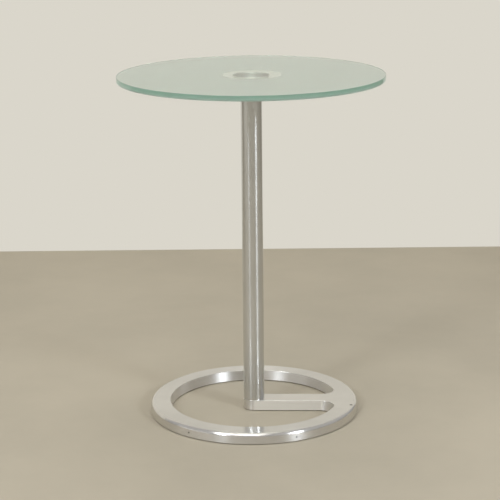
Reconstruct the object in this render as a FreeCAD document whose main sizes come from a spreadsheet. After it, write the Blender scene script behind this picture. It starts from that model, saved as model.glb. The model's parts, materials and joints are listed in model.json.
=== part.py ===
"""Round glass side table: a glass disc on a slim tubular post, on an open ring base with one arm.

The origin is on the floor under the post, +Z is up and the arm of the base points along +X.
Sizes are in millimetres.
"""
import FreeCAD
import Part
import math
import os
import Sketcher
from FreeCAD import Vector

# Driving dimensions. Every other size and place is worked out from these.
SIZES = {
    # the whole table, from the floor to the top of the glass
    "table_height": 655.0,
    # glass disc with a flat ground edge
    "glass_diameter": 500.0,
    "glass_thickness": 10.0,
    "glass_arris": 1.0,
    # film of clear adhesive between the glass and the turned plate
    "bond_thickness": 0.3,
    # turned plate that carries the glass, with a boss that plugs into the post
    "plate_diameter": 70.0,
    "plate_thickness": 8.0,
    "plate_chamfer": 1.0,
    "plate_roof": 3.0,  # metal left above the blind thread
    "boss_length": 12.0,
    "boss_chamfer": 1.0,
    # tubular post
    "post_diameter": 40.0,
    "post_wall": 2.5,
    "post_chamfer": 0.2,
    # threaded inserts that are fixed inside both ends of the post
    "insert_length": 22.0,
    "insert_chamfer": 0.8,
    "insert_gap": 0.5,  # between the boss of the plate and the upper insert
    "bore_fit": 0.05,  # radial, of all that plugs into the post
    # thread of the stud and of the base screw
    "thread_diameter": 10.0,
    "thread_fit": 0.1,  # radial
    "thread_chamfer": 1.0,
    "stud_engagement": 16.0,  # of the stud in the upper insert
    "stud_end_gap": 0.3,  # between the stud and the end of the blind thread
    # ring base with its arm, one flat casting
    "ring_outer_diameter": 404.0,
    "ring_width": 42.0,
    "base_thickness": 20.0,
    "ring_draft": 2.7,  # how far the ring's walls lean in from foot to top
    "ring_edge_radius": 7.0,
    "base_arris": 0.5,  # radius of the inner upper edges and of the edges of the arm
    "foot_arris": 0.8,  # chamfer of all the lower edges
    "arm_junction_radius": 25.0,  # in plan
    # socket head screw and spring washer that pull the post onto the arm from below
    "screw_length": 25.0,
    "screw_hole_diameter": 11.0,
    "head_diameter": 16.0,
    "head_height": 10.0,
    "head_chamfer": 0.8,
    "head_recess": 0.5,  # of the screw head above the underside of the arm
    "socket_width": 8.0,
    "socket_depth": 5.0,
    "counterbore_diameter": 18.0,
    "washer_inner_diameter": 10.4,
    "washer_thickness": 2.5,
    "washer_slit": 1.5,
    # two dowels that keep the post from turning on the arm
    "pin_diameter": 4.0,
    "pin_length": 12.0,
    "pin_circle_diameter": 27.0,
    "pin_chamfer": 0.4,
    "pin_fit": 0.03,  # radial
    "pin_end_gap": 0.3,  # at each end of a dowel
    # glides let into the underside of the ring
    "glide_diameter": 22.0,
    "glide_thickness": 3.0,
    "glide_standoff": 1.0,  # of the ring above the floor
    "glide_chamfer": 0.5,
    "glide_fit": 0.15,  # radial, of a glide in its seat
    "glide_count": 6,
}

# Places and sizes that several pieces share, as expressions on the sheet.
POST_FOOT = "(Sizes.glide_standoff + Sizes.base_thickness)"
GLASS_UNDERSIDE = "(Sizes.table_height - Sizes.glass_thickness)"
PLATE_UNDERSIDE = f"({GLASS_UNDERSIDE} - Sizes.bond_thickness - Sizes.plate_thickness)"
UPPER_INSERT_TOP = f"({PLATE_UNDERSIDE} - Sizes.boss_length - Sizes.insert_gap)"
POST_BORE = "(Sizes.post_diameter - 2 * Sizes.post_wall)"
PLUG_DIAMETER = f"({POST_BORE} - 2 * Sizes.bore_fit)"
THREAD_BORE = "(Sizes.thread_diameter + 2 * Sizes.thread_fit)"
COUNTERBORE_DEPTH = "(Sizes.head_recess + Sizes.head_height + Sizes.washer_thickness)"
PIN_HOLE_DIAMETER = "(Sizes.pin_diameter + 2 * Sizes.pin_fit)"
PIN_HOLE_DEPTH = "(Sizes.pin_length / 2 + Sizes.pin_end_gap)"
RING_MIDDLE_RADIUS = "((Sizes.ring_outer_diameter - Sizes.ring_width) / 2)"
GLIDE_SEAT_DEPTH = "(Sizes.glide_thickness - Sizes.glide_standoff)"
GLIDE_STEP = "(360 deg / Sizes.glide_count)"

NEAR = 1e-4  # two lengths closer than this are the same

doc = FreeCAD.newDocument("glass_side_table")


def make_sheet():
    """The spreadsheet that holds the driving dimensions, one aliased cell each."""
    sheet = doc.addObject("Spreadsheet::Sheet", "Sizes")
    for row, (name, size) in enumerate(SIZES.items(), start=1):
        sheet.set(f"A{row}", name)
        sheet.set(f"B{row}", str(size))
        sheet.setAlias(f"B{row}", name)
    doc.recompute()


def make_body(label):
    """An empty body that becomes one piece of the table."""
    body = doc.addObject("PartDesign::Body", label)
    body.Label = label
    return body


def place(body, across="0", along="0", up="0"):
    """Binds where a body sits to expressions on the sheet."""
    for axis, expression in zip("xyz", (across, along, up)):
        body.setExpression(f"Placement.Base.{axis}", expression)


def origin_feature(body, role):
    """One of the body's own origin planes or axes."""
    return next(feature for feature in body.Origin.OriginFeatures if feature.Role == role)


def make_sketch(body, name, role="XY_Plane", height=None):
    """A sketch on one of the body's origin planes, raised by an expression if one is given."""
    sketch = body.newObject("Sketcher::SketchObject", name)
    sketch.AttachmentSupport = (origin_feature(body, role), [""])
    sketch.MapMode = "FlatFace"
    if height is not None:
        sketch.setExpression("AttachmentOffset.Base.z", height)
    return sketch


def bind(sketch, constraint, expression):
    """Adds a dimension to a sketch and ties it to an expression."""
    index = sketch.addConstraint(constraint)
    sketch.setExpression(f"Constraints[{index}]", expression)


def pin_point(sketch, edge, point, across, up):
    """Fixes a point of a sketch edge at two expressions from the sketch origin.

    A constraint names the start, end and centre of an edge by 1, 2 and 3. Edge -1 is the sketch's
    horizontal axis, whose point 1 is the origin, and edge -2 is its vertical axis.
    """
    for kind, zero_line, expression in (("DistanceX", -2, across), ("DistanceY", -1, up)):
        if expression == "0":
            sketch.addConstraint(Sketcher.Constraint("PointOnObject", edge, point, zero_line))
        else:
            size = sketch.evalExpression(expression)
            bind(sketch, Sketcher.Constraint(kind, -1, 1, edge, point, size), expression)


def draw_circle(sketch, diameter, across="0", up="0"):
    """A circle whose diameter and centre follow expressions."""
    centre = Vector(sketch.evalExpression(across), sketch.evalExpression(up), 0)
    size = sketch.evalExpression(diameter)
    edge = sketch.addGeometry(Part.Circle(centre, Vector(0, 0, 1), size / 2), False)
    pin_point(sketch, edge, 3, across, up)
    bind(sketch, Sketcher.Constraint("Diameter", edge, size), diameter)


def draw_outline(sketch, corners):
    """A closed outline of straight lines through corners, each given by two expressions."""
    points = [Vector(*map(sketch.evalExpression, corner), 0) for corner in corners]
    following = points[1:] + points[:1]
    edges = [sketch.addGeometry(Part.LineSegment(*ends), False) for ends in zip(points, following)]
    for edge, next_edge in zip(edges, edges[1:] + edges[:1]):
        sketch.addConstraint(Sketcher.Constraint("Coincident", edge, 2, next_edge, 1))
    for edge, (across, up) in zip(edges, corners):
        pin_point(sketch, edge, 1, across, up)


def make_pad(body, sketch, name, length):
    """Raises a sketch into a solid of the given height."""
    pad = body.newObject("PartDesign::Pad", name)
    pad.Profile = sketch
    pad.setExpression("Length", length)
    doc.recompute()
    return pad


def make_pocket(body, sketch, name, depth, upward=False):
    """Cuts a sketch out of the body, downward from its plane unless upward is set."""
    pocket = body.newObject("PartDesign::Pocket", name)
    pocket.Profile = sketch
    pocket.Reversed = upward
    pocket.setExpression("Length", depth)
    doc.recompute()
    return pocket


def make_revolution(body, sketch, name):
    """Turns a half section about the sketch's vertical axis."""
    revolution = body.newObject("PartDesign::Revolution", name)
    revolution.Profile = sketch
    revolution.ReferenceAxis = (sketch, ["V_Axis"])
    doc.recompute()
    return revolution


def dress(body, kind, name, size_property, size, chosen):
    """Fillets or chamfers the edges of the body's last feature for which chosen(edge) holds."""
    last = body.Tip
    names = [f"Edge{index}" for index, edge in enumerate(last.Shape.Edges, start=1) if chosen(edge)]
    if not names:
        raise RuntimeError(f"{body.Label}: no edge was found for {name}")
    feature = body.newObject(f"PartDesign::{kind}", name)
    feature.Base = (last, names)
    feature.setExpression(size_property, size)
    doc.recompute()
    return feature


def make_fillet(body, name, radius, chosen):
    """Rounds the chosen edges of a body."""
    return dress(body, "Fillet", name, "Radius", radius, chosen)


def make_chamfer(body, name, size, chosen):
    """Bevels the chosen edges of a body."""
    return dress(body, "Chamfer", name, "Size", size, chosen)


def edge_middle(edge):
    """The point halfway along an edge."""
    return edge.valueAt((edge.FirstParameter + edge.LastParameter) / 2)


def is_level(edge, height=None):
    """True for an edge that lies in one horizontal plane, at the given height if there is one."""
    box = edge.BoundBox
    flat = box.ZLength < NEAR
    return flat and (height is None or abs(box.ZMin - height) < NEAR)


def distance_from_axis(edge):
    """How far the middle of an edge is from the vertical axis of its body."""
    middle = edge_middle(edge)
    return math.hypot(middle.x, middle.y)


def on_outer_rim(body):
    """A test that holds for the level edges of a turned body that lie farthest from its axis."""
    reach = max(distance_from_axis(edge) for edge in body.Tip.Shape.Edges)
    return lambda edge: is_level(edge) and distance_from_axis(edge) > reach - NEAR


def make_rod(label, diameter, length, chamfer, lower_end):
    """A plain round rod with both ends chamfered, standing on the axis of the post."""
    rod = make_body(label)
    section = make_sketch(rod, f"{label}_section")
    draw_circle(section, diameter)
    make_pad(rod, section, f"{label}_length", length)
    make_chamfer(rod, f"{label}_ends", chamfer, is_level)
    place(rod, up=lower_end)
    return rod


def make_glass_top():
    """The glass disc, with both rims of its flat ground edge arrised."""
    glass = make_body("glass_top")
    outline = make_sketch(glass, "glass_outline")
    draw_circle(outline, "Sizes.glass_diameter")
    make_pad(glass, outline, "glass_disc", "Sizes.glass_thickness")
    make_chamfer(glass, "glass_arrises", "Sizes.glass_arris", is_level)
    place(glass, up=GLASS_UNDERSIDE)
    return glass


def make_bond_film():
    """The adhesive film that covers the flat top of the plate."""
    film = make_body("bond_film")
    outline = make_sketch(film, "film_outline")
    draw_circle(outline, "Sizes.plate_diameter - 2 * Sizes.plate_chamfer")
    make_pad(film, outline, "film_disc", "Sizes.bond_thickness")
    place(film, up=f"{GLASS_UNDERSIDE} - Sizes.bond_thickness")
    return film


def make_top_plate():
    """The turned plate under the glass: a disc, a boss that centres it in the post, a blind thread."""
    plate = make_body("top_plate")
    section = make_sketch(plate, "plate_section", "XZ_Plane")
    bore = f"{THREAD_BORE} / 2"
    boss = f"{PLUG_DIAMETER} / 2"
    rim = "Sizes.plate_diameter / 2"
    top = "Sizes.boss_length + Sizes.plate_thickness"
    bore_end = f"{top} - Sizes.plate_roof"
    draw_outline(section, [
        (bore, "0"),
        (f"{boss} - Sizes.boss_chamfer", "0"),
        (boss, "Sizes.boss_chamfer"),
        (boss, "Sizes.boss_length"),
        (f"{rim} - Sizes.plate_chamfer", "Sizes.boss_length"),
        (rim, "Sizes.boss_length + Sizes.plate_chamfer"),
        (rim, f"{top} - Sizes.plate_chamfer"),
        (f"{rim} - Sizes.plate_chamfer", top),
        ("0", top),
        ("0", bore_end),
        (bore, bore_end),
    ])
    make_revolution(plate, section, "plate_turning")
    place(plate, up=f"{PLATE_UNDERSIDE} - Sizes.boss_length")
    return plate


def make_top_stud():
    """The threaded stud that ties the plate to the insert in the top of the post."""
    above_insert = "Sizes.insert_gap + Sizes.boss_length + Sizes.plate_thickness - Sizes.plate_roof"
    length = f"Sizes.stud_engagement + {above_insert} - Sizes.stud_end_gap"
    lower_end = f"{UPPER_INSERT_TOP} - Sizes.stud_engagement"
    return make_rod("top_stud", "Sizes.thread_diameter", length, "Sizes.thread_chamfer", lower_end)


def make_insert(label, lower_end):
    """A round plug inside the post with a thread through it and chamfered outer rims."""
    insert = make_body(label)
    section = make_sketch(insert, f"{label}_section")
    draw_circle(section, PLUG_DIAMETER)
    draw_circle(section, THREAD_BORE)
    make_pad(insert, section, f"{label}_length", "Sizes.insert_length")
    make_chamfer(insert, f"{label}_rims", "Sizes.insert_chamfer", on_outer_rim(insert))
    place(insert, up=lower_end)
    return insert


def make_post_tube():
    """The post, a straight tube with its outer rims broken."""
    post = make_body("post_tube")
    section = make_sketch(post, "post_section")
    draw_circle(section, "Sizes.post_diameter")
    draw_circle(section, POST_BORE)
    make_pad(post, section, "post_length", f"{PLATE_UNDERSIDE} - {POST_FOOT}")
    make_chamfer(post, "post_rims", "Sizes.post_chamfer", on_outer_rim(post))
    place(post, up=POST_FOOT)
    return post


def draw_pin_holes(sketch):
    """The pair of dowel holes, one each side of the screw along the arm."""
    for side in ("-", ""):
        draw_circle(sketch, PIN_HOLE_DIAMETER, across=f"{side}Sizes.pin_circle_diameter / 2")


def make_lower_insert():
    """The insert in the foot of the post, which also takes the upper halves of the dowels."""
    insert = make_insert("lower_insert", POST_FOOT)
    holes = make_sketch(insert, "insert_pin_holes")
    draw_pin_holes(holes)
    make_pocket(insert, holes, "insert_pin_pockets", PIN_HOLE_DEPTH, upward=True)
    return insert


def make_locating_pins():
    """The two dowels between the arm and the foot of the post."""
    pins = []
    for number, side in enumerate(("-", ""), start=1):
        lower_end = f"{POST_FOOT} - Sizes.pin_length / 2"
        pin = make_rod(f"locating_pin_{number}", "Sizes.pin_diameter", "Sizes.pin_length",
                       "Sizes.pin_chamfer", lower_end)
        place(pin, across=f"{side}Sizes.pin_circle_diameter / 2", up=lower_end)
        pins.append(pin)
    return pins


def draw_arm(sketch):
    """The arm in plan: as wide as the post, half round about its axis and running into the ring."""
    half_width = sketch.evalExpression("Sizes.post_diameter / 2")
    reach = sketch.evalExpression(RING_MIDDLE_RADIUS)
    corners = [
        Vector(0, -half_width, 0),
        Vector(reach, -half_width, 0),
        Vector(reach, half_width, 0),
        Vector(0, half_width, 0),
    ]
    sides = zip(corners, corners[1:])
    front, root, back = [sketch.addGeometry(Part.LineSegment(*ends), False) for ends in sides]
    circle = Part.Circle(Vector(0, 0, 0), Vector(0, 0, 1), half_width)
    nose = sketch.addGeometry(Part.ArcOfCircle(circle, math.pi / 2, 3 * math.pi / 2), False)
    sketch.addConstraint([
        Sketcher.Constraint("Coincident", nose, 3, -1, 1),
        Sketcher.Constraint("Tangent", nose, 2, front, 1),
        Sketcher.Constraint("Tangent", nose, 1, back, 2),
        Sketcher.Constraint("Coincident", front, 2, root, 1),
        Sketcher.Constraint("Coincident", root, 2, back, 1),
        Sketcher.Constraint("Horizontal", front),
        Sketcher.Constraint("Vertical", root),
    ])
    bind(sketch, Sketcher.Constraint("Diameter", nose, 2 * half_width), "Sizes.post_diameter")
    bind(sketch, Sketcher.Constraint("DistanceX", -1, 1, root, 1, reach), RING_MIDDLE_RADIUS)


def round_base_edges(base):
    """The rounded junctions of arm and ring, the soft outer rim of the ring and the broken edges."""
    half_width = SIZES["post_diameter"] / 2
    thickness = SIZES["base_thickness"]
    mid_radius = (SIZES["ring_outer_diameter"] - SIZES["ring_width"]) / 2

    def at_junction(edge):
        middle = edge_middle(edge)
        full_height = edge.BoundBox.ZLength > thickness - NEAR
        return full_height and middle.x > half_width and abs(middle.y) > NEAR

    make_fillet(base, "arm_junctions", "Sizes.arm_junction_radius", at_junction)
    make_fillet(base, "inner_edges", "Sizes.base_arris",
                lambda edge: is_level(edge, thickness) and distance_from_axis(edge) < mid_radius)
    make_fillet(base, "ring_edge", "Sizes.ring_edge_radius",
                lambda edge: is_level(edge, thickness) and distance_from_axis(edge) > mid_radius)
    make_chamfer(base, "foot_edges", "Sizes.foot_arris", lambda edge: is_level(edge, 0))


def make_ring_base():
    """The open ring and its arm, with seats for the screw, the dowels and the glides."""
    base = make_body("ring_base")
    ring = make_sketch(base, "ring_section", "XZ_Plane")
    outer = "Sizes.ring_outer_diameter / 2"
    inner = f"({outer} - Sizes.ring_width)"
    draw_outline(ring, [
        (inner, "0"),
        (outer, "0"),
        (f"{outer} - Sizes.ring_draft", "Sizes.base_thickness"),
        (f"{inner} + Sizes.ring_draft", "Sizes.base_thickness"),
    ])
    make_revolution(base, ring, "ring")
    arm = make_sketch(base, "arm_outline")
    draw_arm(arm)
    make_pad(base, arm, "arm", "Sizes.base_thickness")
    round_base_edges(base)

    screw_hole = make_sketch(base, "screw_hole_outline")
    draw_circle(screw_hole, "Sizes.screw_hole_diameter")
    make_pocket(base, screw_hole, "screw_hole", "Sizes.base_thickness", upward=True)
    counterbore = make_sketch(base, "counterbore_outline")
    draw_circle(counterbore, "Sizes.counterbore_diameter")
    make_pocket(base, counterbore, "counterbore", COUNTERBORE_DEPTH, upward=True)
    pin_holes = make_sketch(base, "arm_pin_holes", height="Sizes.base_thickness")
    draw_pin_holes(pin_holes)
    make_pocket(base, pin_holes, "arm_pin_pockets", PIN_HOLE_DEPTH)

    seat = make_sketch(base, "glide_seat_outline")
    draw_circle(seat, "Sizes.glide_diameter + 2 * Sizes.glide_fit", *glide_place(0))
    seat_pocket = make_pocket(base, seat, "glide_seat", GLIDE_SEAT_DEPTH, upward=True)
    seats = base.newObject("PartDesign::PolarPattern", "glide_seats")
    seats.Originals = [seat_pocket]
    seats.Axis = (origin_feature(base, "Z_Axis"), [""])
    seats.Angle = 360
    seats.setExpression("Occurrences", "Sizes.glide_count")
    base.Tip = seats
    place(base, up="Sizes.glide_standoff")
    return base


def make_base_screw():
    """The socket head screw that comes up through the arm into the lower insert."""
    screw = make_body("base_screw")
    section = make_sketch(screw, "screw_section", "XZ_Plane")
    head = "Sizes.head_diameter / 2"
    shank = "Sizes.thread_diameter / 2"
    tip = "Sizes.head_height + Sizes.screw_length"
    draw_outline(section, [
        ("0", "0"),
        (f"{head} - Sizes.head_chamfer", "0"),
        (head, "Sizes.head_chamfer"),
        (head, "Sizes.head_height"),
        (shank, "Sizes.head_height"),
        (shank, f"{tip} - Sizes.thread_chamfer"),
        (f"{shank} - Sizes.thread_chamfer", tip),
        ("0", tip),
    ])
    make_revolution(screw, section, "screw_turning")
    socket = make_sketch(screw, "socket_outline")
    corner = "Sizes.socket_width / 2 / cos(30 deg)"
    flat = "Sizes.socket_width / 2"
    draw_outline(socket, [
        (corner, "0"),
        (f"{corner} / 2", flat),
        (f"-{corner} / 2", flat),
        (f"-{corner}", "0"),
        (f"-{corner} / 2", f"-{flat}"),
        (f"{corner} / 2", f"-{flat}"),
    ])
    make_pocket(screw, socket, "hex_socket", "Sizes.socket_depth", upward=True)
    place(screw, up="Sizes.glide_standoff + Sizes.head_recess")
    return screw


def make_lock_washer():
    """The split spring washer between the screw head and the arm."""
    washer = make_body("lock_washer")
    section = make_sketch(washer, "washer_section")
    draw_circle(section, "Sizes.head_diameter")
    draw_circle(section, "Sizes.washer_inner_diameter")
    make_pad(washer, section, "washer_ring", "Sizes.washer_thickness")
    slit = make_sketch(washer, "washer_slit_outline")
    half_slit = "Sizes.washer_slit / 2"
    draw_outline(slit, [
        ("0", f"-{half_slit}"),
        ("Sizes.head_diameter", f"-{half_slit}"),
        ("Sizes.head_diameter", half_slit),
        ("0", half_slit),
    ])
    make_pocket(washer, slit, "washer_slit", "Sizes.washer_thickness", upward=True)
    place(washer, up="Sizes.glide_standoff + Sizes.head_recess + Sizes.head_height")
    return washer


def glide_place(index):
    """Where a glide sits under the ring, with the arm midway between two of them."""
    angle = f"({GLIDE_STEP} * {index + 0.5})"
    return f"{RING_MIDDLE_RADIUS} * cos({angle})", f"{RING_MIDDLE_RADIUS} * sin({angle})"


def make_glides():
    """The plastic discs that the ring stands on, each with its floor edge chamfered."""
    glides = []
    for index in range(int(SIZES["glide_count"])):
        glide = make_body(f"glide_{index + 1}")
        outline = make_sketch(glide, f"glide_outline_{index + 1}")
        draw_circle(outline, "Sizes.glide_diameter")
        make_pad(glide, outline, f"glide_disc_{index + 1}", "Sizes.glide_thickness")
        make_chamfer(glide, f"glide_edge_{index + 1}", "Sizes.glide_chamfer",
                     lambda edge: is_level(edge, 0))
        place(glide, *glide_place(index))
        glides.append(glide)
    return glides


def check_model(pieces):
    """Stops if a feature failed, a cut removed nothing or a piece has no sound solid."""
    for item in doc.Objects:
        if {"Invalid", "Error"} & set(item.State):
            raise RuntimeError(f"{item.Label} failed: {item.State}")
        if item.TypeId == "PartDesign::Pocket" and item.Shape.Volume >= item.BaseFeature.Shape.Volume:
            raise RuntimeError(f"{item.Label} cut nothing")
    for piece in pieces:
        if piece.Shape.isNull() or not piece.Shape.isValid() or len(piece.Shape.Solids) != 1:
            raise RuntimeError(f"{piece.Label} is not one sound solid")


def main():
    make_sheet()
    pieces = [
        make_glass_top(),
        make_bond_film(),
        make_top_plate(),
        make_top_stud(),
        make_insert("upper_insert", f"{UPPER_INSERT_TOP} - Sizes.insert_length"),
        make_post_tube(),
        make_lower_insert(),
        *make_locating_pins(),
        make_ring_base(),
        make_base_screw(),
        make_lock_washer(),
        *make_glides(),
    ]
    doc.recompute()
    check_model(pieces)
    os.makedirs("parts", exist_ok=True)
    for piece in pieces:
        piece.Shape.exportStep(os.path.join("parts", f"{piece.Label}.step"))


main()
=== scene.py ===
"""Looks of the glass side table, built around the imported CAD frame. Blender 4.5, metres."""

import json
import math

import bpy
from mathutils import Matrix, Vector


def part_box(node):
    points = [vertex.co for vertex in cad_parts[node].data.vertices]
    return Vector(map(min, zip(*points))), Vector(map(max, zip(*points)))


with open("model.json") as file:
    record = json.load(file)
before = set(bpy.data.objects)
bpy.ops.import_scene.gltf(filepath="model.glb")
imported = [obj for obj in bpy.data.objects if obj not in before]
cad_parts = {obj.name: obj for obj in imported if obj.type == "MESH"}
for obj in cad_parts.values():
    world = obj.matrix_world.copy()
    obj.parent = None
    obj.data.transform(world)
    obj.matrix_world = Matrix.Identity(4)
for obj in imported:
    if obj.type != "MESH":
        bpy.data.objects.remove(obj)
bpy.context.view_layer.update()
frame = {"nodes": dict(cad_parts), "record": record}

MM = 0.001
UP = (0.0, 0.0, 1.0)

# A noise's values lie mostly in this range
NOISE_LOW = 0.3
NOISE_HIGH = 0.7

# How far a face's normal points up or down: on a wall 0, on a level face 1
WALL_LIMIT = 0.05
WALL_TO_ROUNDED = (WALL_LIMIT, 0.50)
ROUNDED_TO_LEVEL = (0.95, 0.99)
LEVEL_GRAIN_LIMIT = 0.98

# Polish that the aluminium pieces share
GRAIN_SCALE = 1400.0
GRAIN_TURN_SCALE = 3.0
GRAIN_ROTATION = 0.25
SMUDGE_SCALE = 28.0
SMUDGE_SHADE = 0.95
SMUDGE_ROUGH = (0.97, 1.03)
GRAIN_ROUGH = (-0.03, 0.03)
WAVE_SCALE = 22.0
WAVE_SHARE = 1.5
GRAIN_SHARE = 0.03
POLISH_DEPTH = 0.01 * MM

# Turned plate and drawn post
TURNED_FINISH = {
    "colour": (0.97, 0.965, 0.93),
    "level_rough": 0.285,
    "wall_rough": 0.25,
    "anisotropy": 1.0,
}
POST_FINISH = {
    "colour": (0.715, 0.72, 0.71),
    "level_rough": 0.24,
    "wall_rough": 0.24,
    "anisotropy": 0.95,
}

# Casting of the ring and its arm
CAST_COLOUR = (0.80, 0.785, 0.76)
CAST_ANISOTROPY = 0.9
CAST_WALL_ROUGH = 0.36
CAST_ROUNDED_ROUGH = 0.22
CAST_LEVEL_ROUGH = 0.3
CAST_RIM_ROUGH = 0.24
CAST_MIRROR_ROUGH = 0.1
CAST_MIRROR_SHARE = 0.35
RIM_RADIUS = (182 * MM, 188 * MM)

# The arm: its satin sides, painted a lighter colour that stands in for the light they catch, and its
# end and its corners with the ring
ARM_ROUGH = 0.64
ARM_SIDE_LIT_COLOUR = (0.935, 0.915, 0.858, 1.0)
ARM_FROM_POST = (-1 * MM, 3 * MM)
ARM_TO_RADIUS = (133 * MM, 137 * MM)
NEAR_ARM_ROUGH = 0.32
NEAR_ARM_FROM = (-32 * MM, -28 * MM)
NEAR_ARM_ASIDE = (48 * MM, 62 * MM)

# Small pits of the casting, two in the ring's outer wall and one in its top, whose shade is painted
# as dark spots
PITS = [
    (Vector((-116.4, -163.6, 9.5)) * MM, 1.8 * MM),
    (Vector((84.3, -182.4, 8.8)) * MM, 1.8 * MM),
    (Vector((187.6, -42.2, 21.0)) * MM, 3.2 * MM),
]
PIT_FLOOR_SHARE = 0.7
PIT_SHADE_COLOUR = (0.10, 0.10, 0.09, 1.0)

# Glass: where its zones lie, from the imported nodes, and their looks
GLASS_LOW, GLASS_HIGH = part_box("glass_top")
GLASS_RADIUS = GLASS_HIGH.x
GLASS_IOR = 1.52
GLASS_ROUGH = 0.02
GLASS_COLOUR = (0.99, 0.99, 0.96, 1.0)
GLASS_TINT = (0.10, 0.62, 0.45, 1.0)
GLASS_TINT_DENSITY = 10.0
BOND_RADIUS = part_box("bond_film")[1].x
UNDERSIDE_TOP = GLASS_LOW.z + 0.3 * MM
WINDOW_CENTRE = Vector((2.2, 2.0, 0.0)) * MM
WINDOW_EDGE = (55.2 * MM, 55.8 * MM)
ETCH_ROUGH = (0.50, 0.60)
ETCH_VEIL = 0.55
ETCH_CLOUD_SCALE = 9.0
ETCH_TOOTH_SCALE = 900.0
ETCH_TOOTH_DEPTH = 0.02 * MM
EDGE_FROM = (GLASS_RADIUS - 1.2 * MM, GLASS_RADIUS - 0.6 * MM)
# Painted shade: darker lines along the top and the foot of the edge, standing in for the dark
# reflection of a rounded edge
EDGE_TOP_LINE = (GLASS_HIGH.z - 5.0 * MM, GLASS_HIGH.z - 3.6 * MM)
EDGE_FOOT_LINE = (GLASS_LOW.z + 2.4 * MM, GLASS_LOW.z + 3.6 * MM)
EDGE_COLOUR = (0.80, 0.86, 0.80, 1.0)
EDGE_TOP_SHADE_COLOUR = (0.71, 0.795, 0.72, 1.0)
EDGE_FOOT_SHADE_COLOUR = (0.62, 0.64, 0.60, 1.0)

# Adhesive film
FILM_COLOURS = ((0.80, 0.83, 0.78, 1.0), (0.88, 0.90, 0.86, 1.0))
FILM_ROUGH = 0.15
FILM_ALPHA = 0.02
FILM_CLOUD_SCALE = 60.0
BUBBLE_SCALE = 700.0
BUBBLE_RANGE = (0.55, 0.75)
BUBBLE_ALPHA = 0.08

# Zinc plating of the hidden fixings
ZINC_COLOURS = ((0.50, 0.50, 0.48, 1.0), (0.68, 0.68, 0.66, 1.0))
ZINC_ROUGH = (0.24, 0.40)
ZINC_STAIN_SCALE = 90.0
ZINC_SPANGLE_SCALE = 260.0
ZINC_SPANGLE_DEPTH = 0.02 * MM

# Nylon of the glides
NYLON_COLOURS = ((0.020, 0.020, 0.020, 1.0), (0.050, 0.048, 0.045, 1.0))
NYLON_ROUGH = (0.50, 0.68)
NYLON_GRAIN_SCALE = 1500.0
NYLON_GRAIN_DEPTH = 0.04 * MM
NYLON_DUST_SCALE = 120.0
NYLON_DUST_RANGE = (0.4, 0.75)

# The photograph's camera
IMAGE_WIDTH = 500
SENSOR_WIDTH = 36.0
FOCAL_PIXELS = 1660.3
CAMERA_PLACE = Vector((0.1076, -3.0599, 1.1156))
CAMERA_HEADING = math.radians(2.110)
CAMERA_PITCH = math.radians(14.607)
CAMERA_ROLL = math.radians(-0.575)

# Floor and wall
FLOOR_HALF = 14.0
FLOOR_GAP = 0.2 * MM
FLOOR_COLOUR = (0.446, 0.399, 0.312, 1.0)
FLOOR_SHADES = (0.95, 1.05)
FLOOR_CLOUD_SCALE = 3.0
FLOOR_CLOUD_DETAIL = 5.0
FLOOR_CLOUD_ROUGHNESS = 0.6
FLOOR_CLOUD_RANGE = (0.25, 0.75)
FLOOR_ROUGH = 0.6
FLOOR_SPECULAR = 0.3
WALL_DISTANCE = 1.23
WALL_LEFT = -2.5
WALL_RIGHT = 1.0
WALL_HEIGHT = 1.8
WALL_COLOUR = (0.702, 0.673, 0.597, 1.0)

# Light of the studio
WARM_LIGHT = (1.0, 0.98, 0.95)
DAY_LIGHT = (0.91, 0.98, 1.06)
LIGHT_AIM = Vector((0.0, 0.0, 0.3))
SKY_RISE = (0.0, 0.5)
SKY_STRENGTH = (0.31, 0.48)
LAMP_MIDDLE = 0.5
LAMP_FADE = (0.15, 0.5)


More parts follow.
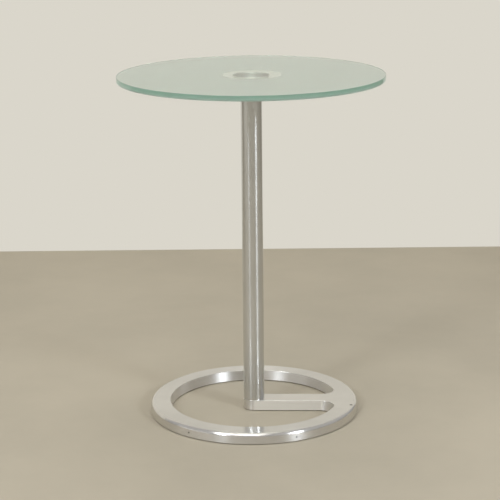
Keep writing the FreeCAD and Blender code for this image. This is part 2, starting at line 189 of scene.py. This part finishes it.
class Tree:
    """A node tree, with short calls for the nodes used here.

    A value may be a number, a colour or a socket.
    """

    def __init__(self, owner):
        owner.use_nodes = True
        self.tree = owner.node_tree
        self.tree.nodes.clear()

    def node(self, kind, **settings):
        made = self.tree.nodes.new(kind)
        for name, value in settings.items():
            setattr(made, name, value)
        return made

    def feed(self, socket, value):
        if isinstance(value, bpy.types.NodeSocket):
            self.tree.links.new(value, socket)
        else:
            socket.default_value = value

    def math(self, operation, a, b=0.0):
        made = self.node("ShaderNodeMath", operation=operation)
        self.feed(made.inputs[0], a)
        self.feed(made.inputs[1], b)
        return made.outputs[0]

    def vector(self, operation, a, b=(0.0, 0.0, 0.0)):
        made = self.node("ShaderNodeVectorMath", operation=operation)
        self.feed(made.inputs[0], a)
        self.feed(made.inputs[1], b)
        return made.outputs["Value" if operation == "LENGTH" else "Vector"]

    def ramp(self, value, low, high, to_low=0.0, to_high=1.0):
        made = self.node("ShaderNodeMapRange", interpolation_type="SMOOTHSTEP", clamp=True)
        self.feed(made.inputs["Value"], value)
        self.feed(made.inputs["From Min"], low)
        self.feed(made.inputs["From Max"], high)
        self.feed(made.inputs["To Min"], to_low)
        self.feed(made.inputs["To Max"], to_high)
        return made.outputs["Result"]

    def fall(self, value, low, high):
        """1 below low, falling to 0 at high."""
        return self.ramp(value, low, high, 1.0, 0.0)

    def spread(self, noise, to_low=0.0, to_high=1.0):
        """The usual values of a noise, spread over a range."""
        return self.ramp(noise, NOISE_LOW, NOISE_HIGH, to_low, to_high)

    def mix(self, share, a, b, kind="RGBA"):
        made = self.node("ShaderNodeMix", data_type=kind)
        picks = {"RGBA": (6, 7, 2), "VECTOR": (4, 5, 1), "FLOAT": (2, 3, 0)}[kind]
        self.feed(made.inputs[0], share)
        self.feed(made.inputs[picks[0]], a)
        self.feed(made.inputs[picks[1]], b)
        return made.outputs[picks[2]]

    def noise(self, place, scale, detail=2.0, roughness=0.5):
        made = self.node("ShaderNodeTexNoise")
        self.feed(made.inputs["Vector"], place)
        self.feed(made.inputs["Scale"], scale)
        self.feed(made.inputs["Detail"], detail)
        self.feed(made.inputs["Roughness"], roughness)
        return made.outputs["Fac"]

    def join(self, x, y, z):
        made = self.node("ShaderNodeCombineXYZ")
        for socket, value in zip(made.inputs, (x, y, z)):
            self.feed(socket, value)
        return made.outputs[0]

    def split(self, place):
        made = self.node("ShaderNodeSeparateXYZ")
        self.feed(made.inputs[0], place)
        return made.outputs

    def place(self):
        return self.node("ShaderNodeTexCoord").outputs["Object"]

    def across(self, x, y):
        """The level distance of x and y from the axis."""
        return self.vector("LENGTH", self.join(x, y, 0.0))

    def bump(self, height, distance):
        made = self.node("ShaderNodeBump")
        self.feed(made.inputs["Height"], height)
        self.feed(made.inputs["Distance"], distance)
        return made.outputs["Normal"]

    def shader(self, kind, **values):
        """A shader node's output. In a value's name _ stands for a space."""
        made = self.node(kind)
        for name, value in values.items():
            self.feed(made.inputs[name.replace("_", " ")], value)
        return made.outputs[0]

    def principled(self, **values):
        return self.shader("ShaderNodeBsdfPrincipled", **values)

    def mix_shaders(self, share, a, b):
        made = self.node("ShaderNodeMixShader")
        for socket, value in zip(made.inputs, (share, a, b)):
            self.feed(socket, value)
        return made.outputs[0]

    def output(self, surface, volume=None, kind="Material"):
        made = self.node("ShaderNodeOutput" + kind)
        self.feed(made.inputs["Surface"], surface)
        if volume is not None:
            self.feed(made.inputs["Volume"], volume)


def make_material(name):
    material = bpy.data.materials.new(name)
    return material, Tree(material)


def shade(colour, share=1.0):
    """The colour made darker or lighter, opaque."""
    return tuple(share * channel for channel in colour[:3]) + (1.0,)


class Polish:
    """Aluminium polished on a lathe.

    The grain runs round the axis on level faces and level along every wall.
    """

    def __init__(self, tree):
        self.tree = tree
        self.place = tree.place()
        self.x, self.y, height = tree.split(self.place)
        self.radius = tree.across(self.x, self.y)
        grain_place = tree.join(
            tree.math("MULTIPLY", self.radius, GRAIN_SCALE),
            tree.math("MULTIPLY", height, GRAIN_SCALE),
            tree.math("MULTIPLY", tree.math("ARCTAN2", self.y, self.x), GRAIN_TURN_SCALE),
        )
        self.grain = tree.noise(grain_place, 1.0, detail=3.0)
        self.smudge = tree.noise(self.place, SMUDGE_SCALE)
        self.normal = tree.node("ShaderNodeNewGeometry").outputs["Normal"]
        self.upright = tree.math("ABSOLUTE", tree.split(self.normal)[2])

    def tone(self, colour):
        """The colour, darker under the smudges."""
        share = self.tree.spread(self.smudge)
        return self.tree.mix(share, shade(colour, SMUDGE_SHADE), shade(colour))

    def uneven(self, rough):
        """A roughness that varies with the smudges and the grain."""
        tree = self.tree
        by_smudge = tree.spread(self.smudge, *SMUDGE_ROUGH)
        by_grain = tree.spread(self.grain, *GRAIN_ROUGH)
        return tree.math("MULTIPLY", rough, tree.math("ADD", by_smudge, by_grain))

    def grain_direction(self):
        tree = self.tree
        round_axis = tree.vector("NORMALIZE", tree.vector("CROSS_PRODUCT", UP, self.place))
        along_wall = tree.vector("NORMALIZE", tree.vector("CROSS_PRODUCT", UP, self.normal))
        on_level = tree.math("GREATER_THAN", self.upright, LEVEL_GRAIN_LIMIT)
        return tree.mix(on_level, along_wall, round_axis, "VECTOR")

    def relief(self):
        """Slow waves that the polishing leaves, with the grain on them."""
        tree = self.tree
        wave = tree.noise(self.place, WAVE_SCALE, detail=1.0)
        waves = tree.math("MULTIPLY", wave, WAVE_SHARE)
        lines = tree.math("MULTIPLY", self.grain, GRAIN_SHARE)
        return tree.bump(tree.math("ADD", waves, lines), POLISH_DEPTH)

    def metal(self, tone, anisotropy):
        """All that a polished metal's shader needs apart from its roughness."""
        return {
            "Base_Color": tone,
            "Metallic": 1.0,
            "Anisotropic": anisotropy,
            "Anisotropic_Rotation": GRAIN_ROTATION,
            "Tangent": self.grain_direction(),
            "Normal": self.relief(),
        }


def polished_aluminium(name, colour, level_rough, wall_rough, anisotropy):
    """A turned or drawn piece, with one finish on its level faces and one on its walls."""
    material, tree = make_material(name)
    polish = Polish(tree)
    off_wall = tree.ramp(polish.upright, *WALL_TO_ROUNDED)
    rough = tree.mix(off_wall, wall_rough, level_rough, "FLOAT")
    metal = polish.metal(polish.tone(colour), anisotropy)
    tree.output(tree.principled(Roughness=polish.uneven(rough), **metal))
    return material


def near_arm_zone(tree, polish):
    """1 on the walls about the arm, with its half round end and its corners with the ring."""
    beyond_end = tree.ramp(polish.x, *NEAR_ARM_FROM)
    beside = tree.fall(tree.math("ABSOLUTE", polish.y), *NEAR_ARM_ASIDE)
    return tree.math("MULTIPLY", beyond_end, beside)


def arm_zone(tree, polish):
    """1 on the straight part of the arm."""
    inside = tree.fall(polish.radius, *ARM_TO_RADIUS)
    beyond_post = tree.ramp(polish.x, *ARM_FROM_POST)
    return tree.math("MULTIPLY", inside, beyond_post)


def outside_pit_shade(tree, place):
    """1 on sound metal, falling to 0 in the pits, where their shade is painted."""
    sound = 1.0
    for centre, reach in PITS:
        away = tree.vector("LENGTH", tree.vector("SUBTRACT", place, centre))
        clear = tree.ramp(away, PIT_FLOOR_SHARE * reach, reach)
        sound = tree.math("MULTIPLY", sound, clear)
    return sound


def cast_aluminium(name):
    """The base: a tight polish on the rim, satin sides on the arm with painted light in their
    lighter colour, a faint mirror on level faces, and painted shade in its pits.
    """
    material, tree = make_material(name)
    polish = Polish(tree)
    on_arm = arm_zone(tree, polish)
    on_rim = tree.ramp(polish.radius, *RIM_RADIUS)
    rough = tree.mix(near_arm_zone(tree, polish), CAST_WALL_ROUGH, NEAR_ARM_ROUGH, "FLOAT")
    rough = tree.mix(on_arm, rough, ARM_ROUGH, "FLOAT")
    rough = tree.mix(on_rim, rough, CAST_RIM_ROUGH, "FLOAT")
    off_wall = tree.ramp(polish.upright, *WALL_TO_ROUNDED)
    rough = tree.mix(off_wall, rough, CAST_ROUNDED_ROUGH, "FLOAT")
    level = tree.ramp(polish.upright, *ROUNDED_TO_LEVEL)
    rough = tree.mix(level, rough, CAST_LEVEL_ROUGH, "FLOAT")
    # Painted light: the arm's side walls get a lighter copy of the casting's colour
    on_wall = tree.math("LESS_THAN", polish.upright, WALL_LIMIT)
    arm_side_lit = tree.math("MULTIPLY", on_arm, on_wall)
    tone = tree.mix(arm_side_lit, polish.tone(CAST_COLOUR), ARM_SIDE_LIT_COLOUR)
    # Painted shade: the pits are painted nearly black
    tone = tree.mix(outside_pit_shade(tree, polish.place), PIT_SHADE_COLOUR, tone)
    metal = polish.metal(tone, CAST_ANISOTROPY)
    satin = tree.principled(Roughness=polish.uneven(rough), **metal)
    mirror = tree.principled(Roughness=CAST_MIRROR_ROUGH, **metal)
    mirror_share = tree.math("MULTIPLY", level, CAST_MIRROR_SHARE)
    tree.output(tree.mix_shaders(mirror_share, satin, mirror))
    return material


def satin_glass(name):
    """Float glass, etched on the underside apart from a clear round window, polished elsewhere, with
    painted shade in lines along the top and foot of its edge.
    """
    material, tree = make_material(name)
    place = tree.place()
    x, y, height = tree.split(place)
    radius = tree.across(x, y)
    low = tree.math("LESS_THAN", height, UNDERSIDE_TOP)
    window_x, window_y, _ = tree.split(tree.vector("SUBTRACT", place, WINDOW_CENTRE))
    outside = tree.ramp(tree.across(window_x, window_y), *WINDOW_EDGE)
    etched = tree.math("MULTIPLY", low, outside)
    bonded = tree.math("MULTIPLY", low, tree.math("LESS_THAN", radius, BOND_RADIUS))
    tooth = tree.noise(place, ETCH_TOOTH_SCALE)
    cloud = tree.noise(place, ETCH_CLOUD_SCALE, detail=3.0)
    etch_rough = tree.spread(cloud, *ETCH_ROUGH)
    # The edge's green, with painted shade in lines along its top and its foot
    edge = tree.mix(tree.ramp(height, *EDGE_TOP_LINE), EDGE_COLOUR, EDGE_TOP_SHADE_COLOUR)
    edge = tree.mix(tree.fall(height, *EDGE_FOOT_LINE), edge, EDGE_FOOT_SHADE_COLOUR)
    on_edge = tree.ramp(radius, *EDGE_FROM)
    veil = tree.math("MULTIPLY", etched, ETCH_VEIL)
    surface = tree.principled(
        Base_Color=tree.mix(on_edge, GLASS_COLOUR, edge),
        IOR=GLASS_IOR,
        Roughness=tree.mix(etched, GLASS_ROUGH, etch_rough, "FLOAT"),
        Transmission_Weight=tree.math("SUBTRACT", 1.0, veil),
        Normal=tree.bump(tree.math("MULTIPLY", tooth, etched), ETCH_TOOTH_DEPTH),
    )
    contact = tree.shader("ShaderNodeBsdfTransparent")
    tint = tree.shader("ShaderNodeVolumeAbsorption", Color=GLASS_TINT, Density=GLASS_TINT_DENSITY)
    tree.output(tree.mix_shaders(bonded, surface, contact), tint)
    return material


def clear_adhesive(name):
    """The cured film: nearly invisible, with a faint cloud of fine bubbles."""
    material, tree = make_material(name)
    place = tree.place()
    bubbles = tree.ramp(tree.noise(place, BUBBLE_SCALE), *BUBBLE_RANGE)
    veil = tree.math("MULTIPLY", bubbles, BUBBLE_ALPHA)
    surface = tree.principled(
        Base_Color=tree.mix(tree.noise(place, FILM_CLOUD_SCALE), *FILM_COLOURS),
        Roughness=FILM_ROUGH,
        Alpha=tree.math("ADD", veil, FILM_ALPHA),
    )
    tree.output(surface)
    return material


def plated_steel(name):
    """Bright zinc plating, slightly mottled."""
    material, tree = make_material(name)
    place = tree.place()
    spangle = tree.noise(place, ZINC_SPANGLE_SCALE, detail=3.0)
    stain = tree.noise(place, ZINC_STAIN_SCALE, detail=3.0)
    surface = tree.principled(
        Base_Color=tree.mix(stain, *ZINC_COLOURS),
        Metallic=1.0,
        Roughness=tree.spread(spangle, *ZINC_ROUGH),
        Normal=tree.bump(spangle, ZINC_SPANGLE_DEPTH),
    )
    tree.output(surface)
    return material


def moulded_nylon(name):
    """Dark moulded nylon with a fine spark-eroded grain and a little dust."""
    material, tree = make_material(name)
    place = tree.place()
    grain = tree.noise(place, NYLON_GRAIN_SCALE)
    dust = tree.ramp(tree.noise(place, NYLON_DUST_SCALE, detail=4.0), *NYLON_DUST_RANGE)
    surface = tree.principled(
        Base_Color=tree.mix(dust, *NYLON_COLOURS),
        Roughness=tree.spread(grain, *NYLON_ROUGH),
        Normal=tree.bump(grain, NYLON_GRAIN_DEPTH),
    )
    tree.output(surface)
    return material


def dress_nodes():
    """Gives every CAD node the look of its material slot."""
    looks = {
        "satin_glass": satin_glass("satin_glass_look"),
        "clear_adhesive": clear_adhesive("clear_adhesive_look"),
        "turned_aluminium": polished_aluminium("turned_aluminium_look", **TURNED_FINISH),
        "post_aluminium": polished_aluminium("post_aluminium_look", **POST_FINISH),
        "cast_aluminium": cast_aluminium("cast_aluminium_look"),
        "plated_steel": plated_steel("plated_steel_look"),
        "glide_nylon": moulded_nylon("glide_nylon_look"),
    }
    for part in frame["record"]["subparts"]:
        mesh = frame["nodes"][part["node"]].data
        mesh.materials.clear()
        mesh.materials.append(looks[part["material_slot"]])


def make_plane(name, corners, look):
    mesh = bpy.data.meshes.new(name)
    mesh.from_pydata(corners, [], [tuple(range(len(corners)))])
    mesh.materials.append(look)
    plane = bpy.data.objects.new(name, mesh)
    bpy.context.scene.collection.objects.link(plane)


def shown_ray(tree):
    """1 for a ray that shows the wall: from the camera, off metal or through glass."""
    path = tree.node("ShaderNodeLightPath").outputs
    shown = tree.math("MAXIMUM", path["Is Camera Ray"], path["Is Glossy Ray"])
    return tree.math("MAXIMUM", shown, path["Is Transmission Ray"])


def one_sided(tree, front):
    """A shader that can't be seen from behind."""
    behind = tree.node("ShaderNodeNewGeometry").outputs["Backfacing"]
    return tree.mix_shaders(behind, front, tree.shader("ShaderNodeBsdfTransparent"))


def wall_look():
    """A plain cream wall, evenly lit where it is seen."""
    material, tree = make_material("wall_look")
    plain = tree.shader("ShaderNodeBsdfDiffuse", Color=WALL_COLOUR)
    lit = tree.shader("ShaderNodeEmission", Color=WALL_COLOUR)
    tree.output(one_sided(tree, tree.mix_shaders(shown_ray(tree), plain, lit)))
    return material


def floor_look():
    """A plain pale floor with a faint cloud in it."""
    material, tree = make_material("floor_look")
    cloud = tree.noise(
        tree.place(),
        FLOOR_CLOUD_SCALE,
        FLOOR_CLOUD_DETAIL,
        FLOOR_CLOUD_ROUGHNESS,
    )
    low, high = [shade(FLOOR_COLOUR, share) for share in FLOOR_SHADES]
    surface = tree.principled(
        Base_Color=tree.mix(tree.ramp(cloud, *FLOOR_CLOUD_RANGE), low, high),
        Roughness=FLOOR_ROUGH,
        Specular_IOR_Level=FLOOR_SPECULAR,
    )
    tree.output(one_sided(tree, surface))
    return material


def make_stage():
    floor_sides = [(-1, -1), (1, -1), (1, 1), (-1, 1)]
    floor = [(x * FLOOR_HALF, y * FLOOR_HALF, -FLOOR_GAP) for x, y in floor_sides]
    make_plane("floor", floor, floor_look())
    turn = Matrix.Rotation(CAMERA_HEADING, 3, "Z")
    foot = [(WALL_LEFT, 0.0), (WALL_RIGHT, 0.0)]
    head = [(WALL_RIGHT, WALL_HEIGHT), (WALL_LEFT, WALL_HEIGHT)]
    wall = [turn @ Vector((x, WALL_DISTANCE, z)) for x, z in foot + head]
    make_plane("wall", wall, wall_look())


def make_world():
    """Soft light from all round, stronger from above. The camera sees the wall's colour instead."""
    world = bpy.data.worlds.new("studio")
    bpy.context.scene.world = world
    tree = Tree(world)
    _, _, up = tree.split(tree.node("ShaderNodeTexCoord").outputs["Generated"])
    strength = tree.ramp(up, *SKY_RISE, *SKY_STRENGTH)
    light = tree.shader("ShaderNodeBackground", Color=shade(WARM_LIGHT), Strength=strength)
    shown = tree.shader("ShaderNodeBackground", Color=WALL_COLOUR)
    path = tree.node("ShaderNodeLightPath").outputs
    tree.output(tree.mix_shaders(path["Is Camera Ray"], light, shown), kind="World")


def soften_edges(lamp):
    """Lets a lamp fade out towards its edges, as a diffuser does."""
    tree = Tree(lamp)
    across, along, _ = tree.split(tree.node("ShaderNodeNewGeometry").outputs["Parametric"])
    fades = []
    for place in (across, along):
        from_middle = tree.math("ABSOLUTE", tree.math("SUBTRACT", place, LAMP_MIDDLE))
        fades.append(tree.fall(from_middle, *LAMP_FADE))
    glow = tree.shader("ShaderNodeEmission", Strength=tree.math("MULTIPLY", *fades))
    tree.output(glow, kind="Light")


def make_softbox(name, azimuth, distance, height, size, radiance, colour=WARM_LIGHT, soft=False):
    """A plain rectangular lamp.

    Azimuth is to the right of the camera, in degrees, seen from the table.
    """
    width, tall = size
    lamp = bpy.data.lights.new(name, "AREA")
    lamp.shape = "RECTANGLE"
    lamp.size = width
    lamp.size_y = tall
    lamp.color = colour
    lamp.energy = radiance * math.pi * width * tall
    if soft:
        soften_edges(lamp)
    piece = bpy.data.objects.new(name, lamp)
    heading = CAMERA_HEADING + math.radians(azimuth)
    place = Vector((distance * math.sin(heading), -distance * math.cos(heading), height))
    turn = (LIGHT_AIM - place).to_track_quat("-Z", "Y")
    piece.matrix_world = Matrix.LocRotScale(place, turn, None)
    piece.visible_camera = False
    bpy.context.scene.collection.objects.link(piece)


def make_lights():
    make_softbox(
        "left_window",
        azimuth=-37.5,
        distance=3.8,
        height=2.40,
        size=(0.7, 0.8),
        radiance=20.5,
        colour=DAY_LIGHT,
    )
    make_softbox(
        "left_fill",
        azimuth=-68.0,
        distance=4.2,
        height=0.6,
        size=(4.6, 1.2),
        radiance=0.65,
        soft=True,
    )
    make_softbox(
        "right_window",
        azimuth=47.3,
        distance=3.8,
        height=1.90,
        size=(0.8, 0.65),
        radiance=33.0,
        colour=DAY_LIGHT,
    )
    make_softbox(
        "front_softbox",
        azimuth=-22.0,
        distance=2.0,
        height=2.8,
        size=(2.6, 2.0),
        radiance=2.15,
    )
    make_softbox(
        "ceiling_panel",
        azimuth=180.0,
        distance=0.5,
        height=2.6,
        size=(1.0, 2.4),
        radiance=3.8,
        soft=True,
    )


def make_camera():
    lens = bpy.data.cameras.new("photo_camera")
    lens.sensor_fit = "HORIZONTAL"
    lens.sensor_width = SENSOR_WIDTH
    lens.lens = FOCAL_PIXELS / IMAGE_WIDTH * SENSOR_WIDTH
    camera = bpy.data.objects.new("photo_camera", lens)
    turn = (
        Matrix.Rotation(CAMERA_HEADING, 4, "Z")
        @ Matrix.Rotation(math.pi / 2 - CAMERA_PITCH, 4, "X")
        @ Matrix.Rotation(CAMERA_ROLL, 4, "Z")
    )
    camera.matrix_world = Matrix.Translation(CAMERA_PLACE) @ turn
    bpy.context.scene.collection.objects.link(camera)
    bpy.context.scene.camera = camera


dress_nodes()
make_stage()
make_world()
make_lights()
make_camera()
bpy.context.scene.view_settings.view_transform = "Standard"
